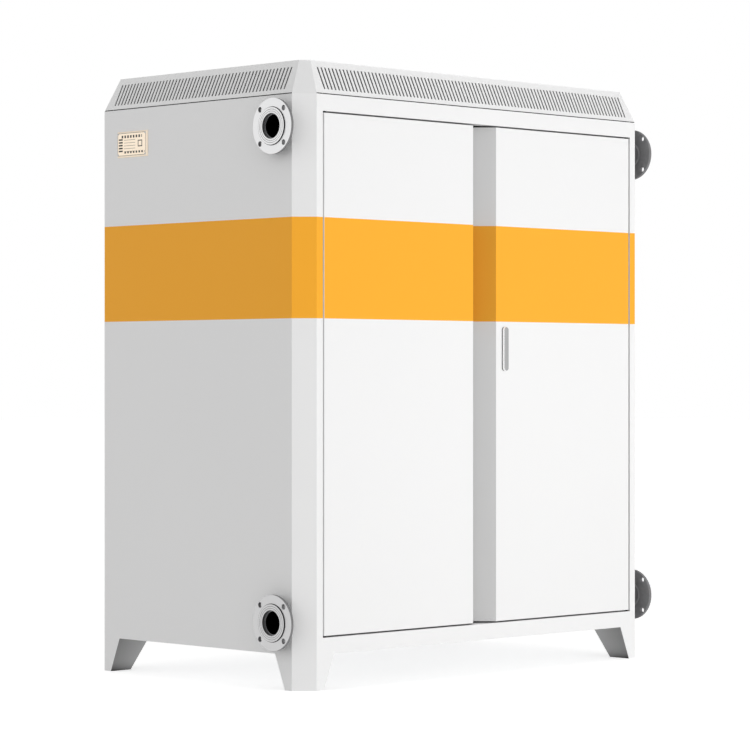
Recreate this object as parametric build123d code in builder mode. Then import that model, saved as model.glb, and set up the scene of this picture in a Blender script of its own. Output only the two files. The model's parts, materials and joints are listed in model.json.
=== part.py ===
from build123d import *
import os
from math import hypot, radians, sqrt, tan

# A floor-standing boiler in a sheet-metal cabinet, in millimetres.
# The front faces -Y, the left side faces -X, +Z is up and the floor is z = 0.

# Cabinet
cabinet_width = 1500
cabinet_depth = 930
body_height = 1700
corner_leg = 50
sheet = 2
panel_return = 20
overrun = 5

# Legs
leg_height = 102
leg_wing_top = 70
leg_wing_foot = 29

# Corner posts
stile_width = 24.5
jamb_depth = 25
rear_wing = 50
pipe_hole_margin = 66

# Doors and the rails above and below them
rail_height = 48
rail_flange = 45
door_gap = 5
meeting_gap = 5
groove_half = 50
hinge_bend = 3
pivot_inset = 6
pin_radius = 3.5
pin_clearance = 0.1
pin_hold = 20
pin_reach = 12
collar_radius = 5.5
thrust_clearance = 0.3

# Handle on the right door
handle_length = 134
handle_width = 21
handle_proud = 10
handle_round = 4
handle_from_centre = 88
handle_above_middle = 77

# Crown
crown_height = 100
crown_inset = 47.5
seam_gap = 3
slot_width = 6
slot_pitch = 14.68
slot_foot_margin = 17
slot_head_margin = 21
slot_end_margin = 36
baffle_inset = 75
baffle_drop = 8
baffle_clear = 1

# Pipe connections
pipe_outer = 71.4
pipe_wall = 2.7
pipe_clearance = 0.3
pipe_setback = 88
pipe_below_seam = 93
pipe_above_skirt = 92
pipe_recess = 8
stub_inside = 60
elbow_radius = 95
elbow_lead = 10
flange_outer = 160
flange_thickness = 11
flange_face_out = 43
raised_face_outer = 108
raised_face_height = 3
flange_edge = 1
bolt_circle = 138
bolt_hole = 16
bolt_count = 4

# Vessels behind the doors
manifold_outer = 114
manifold_end = 65
manifold_round = 25
weld_gap = 0.3
cylinder_count = 3
cylinder_outer = 240
cylinder_pitch = 340
cylinder_clear = 70
cylinder_dish = 60
riser_outer = 48

# Nameplate on the left side
plate_length = 139
plate_height = 78
plate_thickness = 5.5
plate_bevel = 4
plate_from_rear = 183.5
plate_below_seam = 106

# Base
base_thickness = 2.5

# Places worked out from the sizes above
half_width = cabinet_width / 2
half_depth = cabinet_depth / 2
front = -half_depth
jamb_x = half_width - corner_leg - stile_width
front_wing = pipe_setback - corner_leg + pipe_outer / 2 + pipe_hole_margin
facet_length = corner_leg * sqrt(2)
door_edge_x = jamb_x - door_gap
door_bottom = leg_height + rail_height + door_gap
door_top = body_height - rail_height - door_gap
door_middle = (door_bottom + door_top) / 2
door_depth = groove_half - meeting_gap / 2
door_back = front + door_depth
pivot_x = door_edge_x - pivot_inset
pivot_y = front + pivot_inset
pipe_y = front + pipe_setback
upper_pipe_height = body_height - pipe_below_seam
lower_pipe_height = leg_height + pipe_above_skirt
pipe_inner = pipe_outer - 2 * pipe_wall
flange_x = half_width + flange_face_out
stub_end_x = half_width - stub_inside
branch_x = stub_end_x - elbow_lead - elbow_radius
manifold_length = 2 * (branch_x + manifold_end)
manifold_y = 0

os.makedirs("parts", exist_ok=True)


def keep(part, name):
    """Label one finished piece and write it to its own file."""
    part.label = name
    export_step(part, f"parts/{name}.step")


def keep_pair(left_part, left_name, right_name):
    """Write a piece of the left side, and its mirror image on the right."""
    keep(left_part, left_name)
    keep(mirror(left_part, about=Plane.YZ), right_name)


# Corner posts: one folded sheet each, up to the crown, on a tapered box for a leg
def fold_face(points, plane):
    """Plan of a folded sheet whose outer line is given, with the sheet on its inner side."""
    with BuildSketch(plane) as section:
        with BuildLine():
            Polyline(points)
            offset(amount=sheet, side=Side.RIGHT)
        make_face()
    return section.sketch


def leg_plan(level, wing):
    """Plan of the front left leg at a level, where its wings reach this far beyond the facet."""
    reach = corner_leg + wing
    with BuildSketch(Plane.XY.offset(level)) as plan:
        Polygon(
            (-half_width + reach, front),
            (-half_width + corner_leg, front),
            (-half_width, front + corner_leg),
            (-half_width, front + reach),
            (-half_width + reach, front + reach),
            align=None,
        )
    return plan.sketch


def corner_post(front_fold, side_wing):
    """Corner post at the front left, on its boxed leg: front_fold is the line on the front side."""
    facet = [(-half_width + corner_leg, front), (-half_width, front + corner_leg)]
    side_tip = (-half_width, front + corner_leg + side_wing)
    with BuildPart() as leg:
        add(leg_plan(0, leg_wing_foot))
        add(leg_plan(leg_height, leg_wing_top))
        loft()
        offset(amount=-sheet, openings=leg.faces().sort_by(Axis.Z)[-1])
    with BuildPart() as post:
        add(fold_face([*front_fold, *facet, side_tip], Plane.XY.offset(leg_height)))
        extrude(amount=body_height - leg_height)
        add(leg.part)
    return post.part


with BuildPart() as front_post:
    add(
        corner_post(
            [(-jamb_x, front + jamb_depth), (-jamb_x, front)],
            front_wing,
        )
    )
    for pipe_height in (upper_pipe_height, lower_pipe_height):
        with BuildSketch(Plane.YZ.offset(-half_width)):
            with Locations((pipe_y, pipe_height)):
                Circle(pipe_outer / 2 + pipe_clearance)
        extrude(amount=sheet + overrun, both=True, mode=Mode.SUBTRACT)
keep_pair(front_post.part, "front_left_post", "front_right_post")

rear_fold = [(-half_width + corner_leg + rear_wing, front)]
rear_post = mirror(corner_post(rear_fold, rear_wing), about=Plane.XZ)
keep_pair(rear_post, "rear_left_post", "rear_right_post")


# Wall panels: flat sheets with a return along the top and the bottom edge
def channel(plane, length, flange, bottom, top):
    """Sheet on the plane's YZ section, its face at y = 0 and its two returns towards +y."""
    section = Plane(origin=plane.origin, x_dir=plane.y_dir, z_dir=plane.x_dir)
    with BuildPart() as panel:
        with BuildSketch(section):
            with Locations((0, bottom)):
                Rectangle(flange, top - bottom, align=(Align.MIN, Align.MIN))
            with Locations((sheet, bottom + sheet)):
                Rectangle(
                    flange,
                    top - bottom - 2 * sheet,
                    align=(Align.MIN, Align.MIN),
                    mode=Mode.SUBTRACT,
                )
        extrude(amount=length / 2, both=True)
    return panel.part


side_front = front + corner_leg + front_wing
side_rear = half_depth - corner_leg - rear_wing
side_plane = Plane(
    origin=(-half_width, (side_front + side_rear) / 2, 0), x_dir=(0, -1, 0), z_dir=(0, 0, 1)
)
side_panel = channel(
    side_plane, side_rear - side_front, panel_return, leg_height, body_height
)
keep_pair(side_panel, "left_side_panel", "right_side_panel")

back_plane = Plane(origin=(0, half_depth, 0), x_dir=(-1, 0, 0), z_dir=(0, 0, 1))
back_length = cabinet_width - 2 * (corner_leg + rear_wing)
keep(channel(back_plane, back_length, panel_return, leg_height, body_height), "back_panel")

# Front rails, with the holes that the doors' pins turn in
front_plane = Plane(origin=(0, front, 0), x_dir=(1, 0, 0), z_dir=(0, 0, 1))
rails = {
    "front_bottom_rail": (leg_height, leg_height + rail_height),
    "front_top_rail": (body_height, body_height - rail_height),
}
for rail_name, (outer_edge, door_side) in rails.items():
    low_edge = min(outer_edge, door_side)
    high_edge = max(outer_edge, door_side)
    with BuildPart() as rail:
        add(channel(front_plane, 2 * jamb_x, rail_flange, low_edge, high_edge))
        with BuildSketch(Plane.XY.offset(door_side)):
            with Locations((-pivot_x, pivot_y), (pivot_x, pivot_y)):
                Circle(pin_radius + pin_clearance)
        extrude(amount=sheet + overrun, both=True, mode=Mode.SUBTRACT)
    keep(rail.part, rail_name)


# Base pan, on the returns of the walls and the bottom rail
def cabinet_outline(plane, inset):
    """Plan of the cabinet with cut corners, drawn in by inset all round."""
    inset_corner = corner_leg - inset * (2 - sqrt(2))
    with BuildSketch(plane) as outline:
        Rectangle(cabinet_width - 2 * inset, cabinet_depth - 2 * inset)
        chamfer(outline.vertices(), inset_corner)
    return outline.sketch


base_front = front + jamb_depth + sheet
with BuildPart() as base_pan:
    add(cabinet_outline(Plane.XY.offset(leg_height + sheet), sheet))
    extrude(amount=base_thickness)
    split(bisect_by=Plane.XZ.offset(-base_front), keep=Keep.BOTTOM)
keep(base_pan.part, "base_pan")

# Doors: a folded pan with a bevelled meeting edge, closed by a liner
with BuildPart() as left_door:
    with BuildSketch(Plane.XY.offset(door_bottom)):
        Polygon(
            (-door_edge_x, door_back),
            (-door_edge_x, front),
            (-groove_half, front),
            (-meeting_gap / 2, door_back),
            align=None,
        )
    extrude(amount=door_top - door_bottom)
    hinge_edges = left_door.edges().filter_by(Axis.Z).group_by(Axis.X)[0]
    fillet(hinge_edges.sort_by(Axis.Y)[0], hinge_bend)
    offset(amount=-sheet, openings=left_door.faces().sort_by(Axis.Y)[-1])
    with BuildSketch(Plane.XY.offset(door_bottom)):
        with Locations((-pivot_x, pivot_y)):
            Circle(pin_radius + pin_clearance)
    extrude(amount=door_top - door_bottom, mode=Mode.SUBTRACT)
keep_pair(left_door.part, "left_door", "right_door")

bevel_inner_x = -meeting_gap / 2 - sheet * sqrt(2)
with BuildPart() as left_liner:
    with BuildSketch(Plane.XY.offset(door_bottom + sheet)):
        Polygon(
            (-door_edge_x + sheet, door_back),
            (-door_edge_x + sheet, door_back - sheet),
            (bevel_inner_x - sheet, door_back - sheet),
            (bevel_inner_x, door_back),
            align=None,
        )
    extrude(amount=door_top - door_bottom - 2 * sheet)
keep_pair(left_liner.part, "left_door_liner", "right_door_liner")

# Hinge pins at the foot and the head of each door, with a thrust collar in the gap
with BuildPart() as left_pins:
    for door_end, inwards in ((door_bottom, 1), (door_top, -1)):
        with BuildSketch(Plane.XY.offset(door_end + inwards * pin_hold)):
            with Locations((-pivot_x, pivot_y)):
                Circle(pin_radius)
        extrude(amount=-inwards * (pin_hold + door_gap + sheet + pin_reach))
        with BuildSketch(Plane.XY.offset(door_end)):
            with Locations((-pivot_x, pivot_y)):
                Circle(collar_radius)
        extrude(amount=-inwards * (door_gap - thrust_clearance))
keep_pair(left_pins.part, "left_door_pins", "right_door_pins")

# Handle: a bar with round ends, flat on the right door
with BuildPart() as handle:
    with BuildSketch(Plane.XZ.offset(-front)):
        with Locations((handle_from_centre, door_middle + handle_above_middle)):
            SlotOverall(handle_length, handle_width, rotation=90)
    extrude(amount=handle_proud)
    fillet(handle.faces().sort_by(Axis.Y)[0].edges(), handle_round)
keep(handle.part, "door_handle")

# Crown: eight sloping sheets, mitred to each other, under a top plate
slope_length = hypot(crown_height, crown_inset)
slope_share = crown_inset / crown_height
mitre_share = tan(radians(45 / 2))
slot_length = slope_length - slot_foot_margin - slot_head_margin
slot_middle_share = (slot_foot_margin + slot_length / 2) / slope_length


def crown_sheet(foot, base_length, low_edge, slotted):
    """Sloping sheet on foot, a plane with x along its lower edge and y into the cabinet."""
    section = Plane(origin=foot.origin, x_dir=foot.y_dir, z_dir=foot.x_dir)
    high_edge = crown_height - sheet
    thickness = sheet * slope_length / crown_height
    outward = foot.z_dir * crown_inset - foot.y_dir * crown_height
    slot_centre = foot.from_local_coords(
        (0, crown_inset * slot_middle_share, crown_height * slot_middle_share)
    )
    mitre_depth = crown_inset + thickness + overrun
    with BuildPart() as piece:
        with BuildSketch(section):
            Polygon(
                (low_edge * slope_share, low_edge),
                (high_edge * slope_share, high_edge),
                (high_edge * slope_share + thickness, high_edge),
                (low_edge * slope_share + thickness, low_edge),
                align=None,
            )
        extrude(amount=base_length / 2, both=True)
        if slotted:
            slot_span = base_length - 2 * slot_end_margin
            slot_count = int(slot_span / slot_pitch) + 1
            with BuildSketch(Plane(slot_centre, x_dir=foot.x_dir, z_dir=outward)):
                with GridLocations(slot_pitch, slot_length, slot_count, 1):
                    Rectangle(slot_width, slot_length)
            extrude(amount=sheet + overrun, both=True, mode=Mode.SUBTRACT)
        with BuildSketch(foot):
            Polygon(
                (-base_length / 2, 0),
                (base_length / 2, 0),
                (base_length / 2 - mitre_depth * mitre_share, mitre_depth),
                (-base_length / 2 + mitre_depth * mitre_share, mitre_depth),
                align=None,
            )
        extrude(amount=crown_height, mode=Mode.INTERSECT)
    return piece.part


long_edge = cabinet_width - 2 * corner_leg
short_edge = cabinet_depth - 2 * corner_leg
straight_sides = {
    "crown_front": ((0, front), (1, 0), long_edge),
    "crown_back": ((0, half_depth), (-1, 0), long_edge),
    "crown_left": ((-half_width, 0), (0, -1), short_edge),
    "crown_right": ((half_width, 0), (0, 1), short_edge),
}
for side_name, (middle, along, edge) in straight_sides.items():
    foot = Plane((*middle, body_height), x_dir=(*along, 0), z_dir=(0, 0, 1))
    keep(crown_sheet(foot, edge, seam_gap, True), side_name)

corner_middle_x = half_width - corner_leg / 2
corner_middle_y = half_depth - corner_leg / 2
corners = {
    "crown_front_left": (-1, -1),
    "crown_front_right": (1, -1),
    "crown_rear_left": (-1, 1),
    "crown_rear_right": (1, 1),
}
for corner_name, (east, north) in corners.items():
    foot = Plane(
        (east * corner_middle_x, north * corner_middle_y, body_height),
        x_dir=(-north, east, 0),
        z_dir=(0, 0, 1),
    )
    keep(crown_sheet(foot, facet_length, 0, False), corner_name)

top_level = crown_height - sheet
with BuildPart() as crown_top:
    add(cabinet_outline(Plane.XY.offset(body_height + top_level), top_level * slope_share))
    extrude(amount=sheet)
keep(crown_top.part, "crown_top")

# Baffle: four upright plates that hang from the top plate, behind the slots.
# The two at the sides reach the front and the back sheet, so no light passes round the corners.
baffle_x = half_width - baffle_inset
baffle_y = half_depth - baffle_inset
baffle_low = body_height - baffle_drop
stop_low = body_height + baffle_clear
stop_low_y = half_depth - baffle_clear * slope_share - sheet * slope_length / crown_height - baffle_clear
stop_high_y = stop_low_y - (top_level - baffle_clear) * slope_share
with BuildPart() as baffle:
    with BuildSketch(Plane.XY.offset(baffle_low)):
        with Locations((0, -baffle_y), (0, baffle_y)):
            Rectangle(2 * (baffle_x - sheet), sheet)
    extrude(amount=baffle_drop + top_level)
    with BuildSketch(Plane.YZ.offset(-baffle_x), Plane.YZ.offset(baffle_x)):
        Polygon(
            (-baffle_y, baffle_low),
            (baffle_y, baffle_low),
            (baffle_y, stop_low),
            (stop_low_y, stop_low),
            (stop_high_y, body_height + top_level),
            (-stop_high_y, body_height + top_level),
            (-stop_low_y, stop_low),
            (-baffle_y, stop_low),
            align=None,
        )
    extrude(amount=sheet / 2, both=True)
keep(baffle.part, "crown_baffle")

# Pipe connections: flange, stub through the post, and branch to the manifold
levels = {"upper": upper_pipe_height, "lower": lower_pipe_height}
for level, pipe_height in levels.items():
    axis = Plane((-flange_x, pipe_y, pipe_height), x_dir=(0, -1, 0), z_dir=(-1, 0, 0))

    with BuildPart() as flange:
        with BuildSketch(axis):
            Circle(flange_outer / 2)
            Circle(pipe_outer / 2 + pipe_clearance, mode=Mode.SUBTRACT)
            with PolarLocations(bolt_circle / 2, bolt_count, start_angle=45):
                Circle(bolt_hole / 2, mode=Mode.SUBTRACT)
        extrude(amount=-flange_thickness)
        rim = flange.edges().filter_by(GeomType.CIRCLE).sort_by(SortBy.RADIUS)[-2:]
        chamfer(rim, flange_edge)
        with BuildSketch(axis):
            Circle(raised_face_outer / 2)
            Circle(pipe_outer / 2 + pipe_clearance, mode=Mode.SUBTRACT)
        extrude(amount=raised_face_height)
    keep_pair(flange.part, f"{level}_left_flange", f"{level}_right_flange")

    with BuildPart() as stub:
        with BuildSketch(axis.offset(-pipe_recess)):
            Circle(pipe_outer / 2)
            Circle(pipe_inner / 2, mode=Mode.SUBTRACT)
        extrude(amount=-(flange_x - pipe_recess - stub_end_x))
    keep_pair(stub.part, f"{level}_left_stub", f"{level}_right_stub")

    with BuildPart() as branch:
        with BuildLine(Plane.XY.offset(pipe_height)) as route:
            FilletPolyline(
                (-stub_end_x, pipe_y),
                (-branch_x, pipe_y),
                (-branch_x, manifold_y),
                radius=elbow_radius,
            )
        with BuildSketch(axis.offset(stub_end_x - flange_x)):
            Circle(pipe_outer / 2)
            Circle(pipe_inner / 2, mode=Mode.SUBTRACT)
        sweep(path=route.wires()[0])
        with Locations((-branch_x, manifold_y, pipe_height)):
            Cylinder(
                manifold_outer / 2 + weld_gap,
                manifold_length,
                rotation=(0, 90, 0),
                mode=Mode.SUBTRACT,
            )
    keep_pair(branch.part, f"{level}_left_branch", f"{level}_right_branch")

    with BuildPart() as manifold:
        with Locations((0, manifold_y, pipe_height)):
            Cylinder(manifold_outer / 2, manifold_length, rotation=(0, 90, 0))
        fillet(manifold.edges().filter_by(GeomType.CIRCLE), manifold_round)
    keep(manifold.part, f"{level}_manifold")

# Heating cylinders between the two manifolds
cylinder_low = lower_pipe_height + manifold_outer / 2 + cylinder_clear
cylinder_high = upper_pipe_height - manifold_outer / 2 - cylinder_clear
for number in range(cylinder_count):
    cylinder_x = (number - (cylinder_count - 1) / 2) * cylinder_pitch
    with BuildPart() as vessel:
        with BuildSketch(Plane.XY.offset(cylinder_low)):
            with Locations((cylinder_x, manifold_y)):
                Circle(cylinder_outer / 2)
        extrude(amount=cylinder_high - cylinder_low)
        fillet(vessel.edges().filter_by(GeomType.CIRCLE), cylinder_dish)
        with BuildSketch(Plane.XY.offset(lower_pipe_height)):
            with Locations((cylinder_x, manifold_y)):
                Circle(riser_outer / 2)
        extrude(amount=upper_pipe_height - lower_pipe_height)
        for pipe_height in levels.values():
            with Locations((cylinder_x, manifold_y, pipe_height)):
                Cylinder(
                    manifold_outer / 2 + weld_gap,
                    cylinder_outer,
                    rotation=(0, 90, 0),
                    mode=Mode.SUBTRACT,
                )
    keep(vessel.part, f"heating_cylinder_{number + 1}")

# Nameplate: a plain plate with bevelled edges
with BuildPart() as nameplate:
    plate_plane = Plane(
        (-half_width, half_depth - plate_from_rear, body_height - plate_below_seam),
        x_dir=(0, -1, 0),
        z_dir=(-1, 0, 0),
    )
    with BuildSketch(plate_plane):
        Rectangle(plate_length, plate_height)
    extrude(amount=plate_thickness)
    chamfer(nameplate.faces().sort_by(Axis.X)[0].edges(), plate_bevel)
keep(nameplate.part, "nameplate")
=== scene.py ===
"""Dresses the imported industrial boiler: finishes, small fittings, studio light and camera.

Every length is in metres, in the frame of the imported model: the doors face -Y, the side with the
nameplate faces -X, +Z is up and the floor is at zero.
"""

import json
import logging
from collections.abc import Iterable, Mapping, Sequence
from dataclasses import dataclass, field
from enum import Enum
from math import cos, pi, radians, sin, sqrt, tau
from typing import Any

import bmesh
import bpy
from mathutils import Euler, Matrix, Vector


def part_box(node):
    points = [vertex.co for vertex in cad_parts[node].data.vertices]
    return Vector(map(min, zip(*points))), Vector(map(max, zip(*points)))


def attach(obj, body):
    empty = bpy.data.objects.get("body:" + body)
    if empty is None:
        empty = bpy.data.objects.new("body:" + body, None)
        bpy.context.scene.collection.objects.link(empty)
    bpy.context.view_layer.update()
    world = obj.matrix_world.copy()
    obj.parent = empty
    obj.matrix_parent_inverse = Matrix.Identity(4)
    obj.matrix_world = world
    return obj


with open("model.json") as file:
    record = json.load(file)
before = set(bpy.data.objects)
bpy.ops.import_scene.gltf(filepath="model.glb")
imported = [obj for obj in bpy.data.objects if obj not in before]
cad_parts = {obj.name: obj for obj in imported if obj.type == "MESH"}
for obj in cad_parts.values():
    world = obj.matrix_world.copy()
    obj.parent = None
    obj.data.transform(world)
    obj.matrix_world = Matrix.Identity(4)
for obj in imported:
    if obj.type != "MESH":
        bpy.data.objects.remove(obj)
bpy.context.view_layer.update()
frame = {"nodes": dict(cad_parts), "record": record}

LOG = logging.getLogger("boiler")
Colour = tuple[float, float, float]
ROOT_HALF = sqrt(0.5)
SIDE_SIGNS = {"left": -1, "right": 1}
LEVELS = ("upper", "lower")
WHITE = (1.0, 1.0, 1.0, 1.0)
NOISE_MIDDLE = 0.5
RING_STEPS = 72
RIDGE_SIDES = 4
STRAP_STEPS = 96
BEAD_SEGMENTS = 10
BEAD_RINGS = 6
BEAD_SHAPE = (1.0, 1.0, 0.6)
SHARP_ANGLE = radians(35)


class Slot(Enum):
    """The record's material slots."""

    PAINT = "cabinet_paint"
    GALVANISED = "galvanised_steel"
    FLANGE = "flange_steel"
    PIPE = "pipe_steel"
    JACKET = "vessel_jacket"
    HANDLE = "handle_metal"
    PLATE = "plate_enamel"
    PIN = "pin_steel"
    BAFFLE = "baffle_coat"


class Body(Enum):
    """The bodies that move by themselves."""

    CABINET = "cabinet"
    LEFT_DOOR = "left_door"
    RIGHT_DOOR = "right_door"


class Facing(Enum):
    """Turns, as Euler angles, that point a shape drawn upwards towards one side."""

    LEFT = (0.0, -pi / 2, 0.0)
    RIGHT = (0.0, pi / 2, 0.0)
    FRONT = (pi / 2, 0.0, 0.0)
    BACK = (-pi / 2, 0.0, 0.0)
    UP = (0.0, 0.0, 0.0)


class Term:
    """A node's output that takes part in maths, so that an expression adds its Math nodes."""

    def __init__(self, graph: "Graph", socket: bpy.types.NodeSocket) -> None:
        """Keeps the socket and the graph that new nodes go to."""
        self.graph = graph
        self.socket = socket

    def output(self, name: str) -> "Term":
        """Another output of the same node."""
        return Term(self.graph, self.socket.node.outputs[name])

    def __add__(self, other: "Term | float") -> "Term":
        """This value plus another."""
        return self.graph.maths("ADD", self, other)

    __radd__ = __add__

    def __sub__(self, other: "Term | float") -> "Term":
        """This value less another."""
        return self.graph.maths("SUBTRACT", self, other)

    def __rsub__(self, other: float) -> "Term":
        """A number less this value."""
        return self.graph.maths("SUBTRACT", other, self)

    def __mul__(self, other: "Term | float") -> "Term":
        """This value times another."""
        return self.graph.maths("MULTIPLY", self, other)

    __rmul__ = __mul__

    def __truediv__(self, other: "Term | float") -> "Term":
        """This value divided by another."""
        return self.graph.maths("DIVIDE", self, other)

    def __pow__(self, exponent: int) -> "Term":
        """This value times itself, as often as a whole number says."""
        return self.graph.maths("POWER", self, exponent)

    def __lt__(self, other: "Term | float") -> "Term":
        """One where this value is the smaller, else zero."""
        return self.graph.maths("LESS_THAN", self, other)

    def __gt__(self, other: "Term | float") -> "Term":
        """One where this value is the larger, else zero."""
        return self.graph.maths("GREATER_THAN", self, other)

    def __abs__(self) -> "Term":
        """The value without its sign."""
        return self.graph.maths("ABSOLUTE", self)

    def least(self, other: "Term | float") -> "Term":
        """The smaller of this value and another."""
        return self.graph.maths("MINIMUM", self, other)

    def most(self, other: "Term | float") -> "Term":
        """The larger of this value and another."""
        return self.graph.maths("MAXIMUM", self, other)

    def root(self) -> "Term":
        """The square root."""
        return self.graph.maths("SQRT", self)

    def remainder(self, step: float) -> "Term":
        """What is left of this value after whole steps, from zero up to one step."""
        return self.graph.maths("FLOORED_MODULO", self, step)

    def between(self, low: float, high: float) -> "Term":
        """One where this value lies between two limits, else zero."""
        return (self > low) * (self < high)


class Graph:
    """Adds nodes to one tree, of a material, of the world or of a shape."""

    def __init__(self, tree: bpy.types.NodeTree) -> None:
        """Keeps the tree."""
        self.tree = tree

    def add(
        self,
        kind: str,
        settings: Mapping[str, Any] | None = None,
        inputs: Mapping[str | int, Any] | None = None,
        output: str | int = 0,
    ) -> Term:
        """Adds one node.

        Args:
            kind: The node's type.
            settings: Properties of the node, which are set first.
            inputs: Values or terms, by the socket's name or number.
            output: The output to carry on with.

        Returns:
            The chosen output.
        """
        node = self.tree.nodes.new(kind)
        for name, value in (settings or {}).items():
            setattr(node, name, value)
        for key, value in (inputs or {}).items():
            if isinstance(value, Term):
                self.tree.links.new(value.socket, node.inputs[key])
            else:
                node.inputs[key].default_value = value
        return Term(self, node.outputs[output]) if len(node.outputs) else None

    def maths(self, operation: str, *values: Term | float) -> Term:
        """Adds a Math node on one or two values."""
        return self.add("ShaderNodeMath", {"operation": operation}, dict(enumerate(values)))

    def split(self, vector: Term) -> tuple[Term, Term, Term]:
        """The three components of a vector."""
        parts = self.add("ShaderNodeSeparateXYZ", inputs={0: vector})
        return parts, parts.output("Y"), parts.output("Z")

    def tint(self, share: Term | float, base: Term | Colour, over: Term | Colour) -> Term:
        """Mixes two colours.

        Args:
            share: How much of the second colour shows, from 0 to 1.
            base: The first colour.
            over: The second colour.

        Returns:
            The mixed colour.
        """
        pair = [c if isinstance(c, Term) else (*c, 1.0) for c in (base, over)]
        return self.add("ShaderNodeMix", {"data_type": "RGBA"}, {0: share, 6: pair[0], 7: pair[1]}, 2)

    def noise(self, place: Term, size: float, detail: float = 2.0, stretch: Colour | None = None) -> Term:
        """Soft cloudy noise around a half.

        Args:
            place: The coordinates that it hangs on.
            size: The size of one cloud, in metres.
            detail: How many finer layers it has.
            stretch: Shares that squeeze the coordinates, for noise drawn out along a direction.

        Returns:
            A value from 0 to 1.
        """
        if stretch:
            place = self.add("ShaderNodeMapping", inputs={"Vector": place, "Scale": stretch})
        return self.add("ShaderNodeTexNoise", None, {"Vector": place, "Scale": 1 / size, "Detail": detail})


@dataclass
class Surface:
    """What a finish tells the shader: constants or terms that vary over the surface."""

    colour: Term | Colour
    roughness: Term | float
    metallic: Term | float
    relief: Term | None = None
    relief_depth: float = 0.0
    specular: float = 0.5


@dataclass(frozen=True)
class Finish:
    """A finish that a slot's pieces share."""

    slot: Slot

    def surface(self, graph: Graph, place: Term) -> Surface:
        """Describes the finish; each kind of finish has its own."""
        raise NotImplementedError

    def material(self) -> bpy.types.Material:
        """Makes the material.

        Returns:
            A material on Object coordinates, named after its slot.
        """
        material = bpy.data.materials.new(self.slot.value)
        material.use_nodes = True
        material.node_tree.nodes.clear()
        graph = Graph(material.node_tree)
        place = graph.add("ShaderNodeTexCoord", output="Object")
        look = self.surface(graph, place)
        colour = look.colour if isinstance(look.colour, Term) else (*look.colour, 1.0)
        sockets = {"Base Color": colour, "Roughness": look.roughness, "Metallic": look.metallic}
        sockets["Specular IOR Level"] = look.specular
        if look.relief:
            bump = {"Height": look.relief, "Distance": look.relief_depth, "Strength": 1.0}
            sockets["Normal"] = graph.add("ShaderNodeBump", inputs=bump)
        shader = graph.add("ShaderNodeBsdfPrincipled", inputs=sockets)
        graph.add("ShaderNodeOutputMaterial", inputs={"Surface": shader})
        return material


@dataclass(frozen=True)
class PowderCoat(Finish):
    """White powder coat with an orange band sprayed round the outer skin of the cabinet."""

    half_width: float
    half_depth: float
    door_low: float
    door_high: float
    door_reach: float
    leg_height: float
    body_height: float
    seam_x: float
    corner: float = 0.050
    seam_shade_half: float = 0.0008
    groove_half: float = 0.050
    band_low: float = 1.0604
    band_high: float = 1.3493
    skin: float = 0.0006
    white: Colour = (0.875, 0.875, 0.875)
    white_shade: Colour = (0.862, 0.862, 0.862)
    orange: Colour = (0.985, 0.440, 0.026)
    orange_shade: Colour = (0.975, 0.432, 0.025)
    # Black is the colour of all the painted shade on the coat.
    black: Colour = (0.0, 0.0, 0.0)
    # Shares of painted shade, towards black, on the groove, the legs, the gaps and the seams.
    groove_shade_share: float = 0.31
    leg_shade_share: float = 0.28
    leg_edge_shade_share: float = 0.36
    leg_shade_reach: float = 0.12
    foot_shade_share: float = 0.40
    foot_shade_power: int = 8
    gap_shade_share: float = 0.30
    side_gap_shade_share: float = 0.05
    seam_shade_share: float = 0.85
    gap_depth: float = 0.055
    gap_edge: float = 0.003
    cloud: float = 0.6
    peel: float = 0.0026
    peel_depth: float = 0.00006
    sheen: float = 0.46
    sheen_swing: float = 0.10
    specular: float = 0.25

    def surface(self, graph: Graph, place: Term) -> Surface:
        """The band is on the outer skin; painted shade darkens the bevels of the groove, the gaps round the
        doors, the seams of the back panel and the inner walls of the legs.
        """
        x, y, z = graph.split(place)
        across, along = abs(x), abs(y)
        depth = (self.half_width - across).least(self.half_depth - along)
        facet = self.half_width + self.half_depth - self.corner - across - along
        depth = depth.least(facet * ROOT_HALF)
        bevel = (y + across + (self.half_depth - self.groove_half)) * ROOT_HALF
        band = (depth.least(bevel) < self.skin) * z.between(self.band_low, self.band_high)
        # The bevels of the groove between the doors take painted shade, greyer than the doors.
        groove = (bevel < self.skin) * z.between(self.door_low, self.door_high)
        hidden = (depth > self.skin) * (1 - groove)
        # Painted shade on the inner walls of the legs, darker towards the foot and towards the outer edge.
        foot = (1 - z / self.leg_height) ** self.foot_shade_power * self.foot_shade_share
        edge = (1 - depth / self.leg_shade_reach).most(0.0) * self.leg_edge_shade_share
        leg_shade = hidden * (z < self.leg_height) * (foot + edge + self.leg_shade_share).least(1.0)
        body = z.between(self.leg_height, self.body_height)
        rail = (z < self.door_low - self.skin) * (bevel > self.skin)
        rail = rail.most(z > self.door_high + self.skin)
        # Painted shade on the hidden faces in the gaps round the doors, deeper along the rails than up the
        # uprights.
        gap = hidden * (y < self.gap_depth - self.half_depth) * body
        upright = (across > self.door_reach - self.gap_edge) * self.side_gap_shade_share
        gap = gap * upright.most(rail * self.gap_shade_share)
        # Painted shade: a dark line down each upright seam of the back panel.
        seam = (abs(across - self.seam_x) < self.seam_shade_half) * (y > self.half_depth - self.skin)
        seam = seam * body * self.seam_shade_share
        # The painted shade of the legs, gaps, seams and groove together.
        dark = leg_shade.most(gap).most(seam).most(groove * self.groove_shade_share)
        clouds = graph.noise(place, self.cloud)
        white = graph.tint(clouds, self.white, self.white_shade)
        orange = graph.tint(clouds, self.orange, self.orange_shade)
        peel = graph.noise(place, self.peel, detail=1.0)
        sheen = self.sheen + (clouds - NOISE_MIDDLE) * self.sheen_swing
        colour = graph.tint(dark, graph.tint(band, white, orange), self.black)
        return Surface(colour, sheen, 0.0, peel, self.peel_depth, self.specular)


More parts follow.
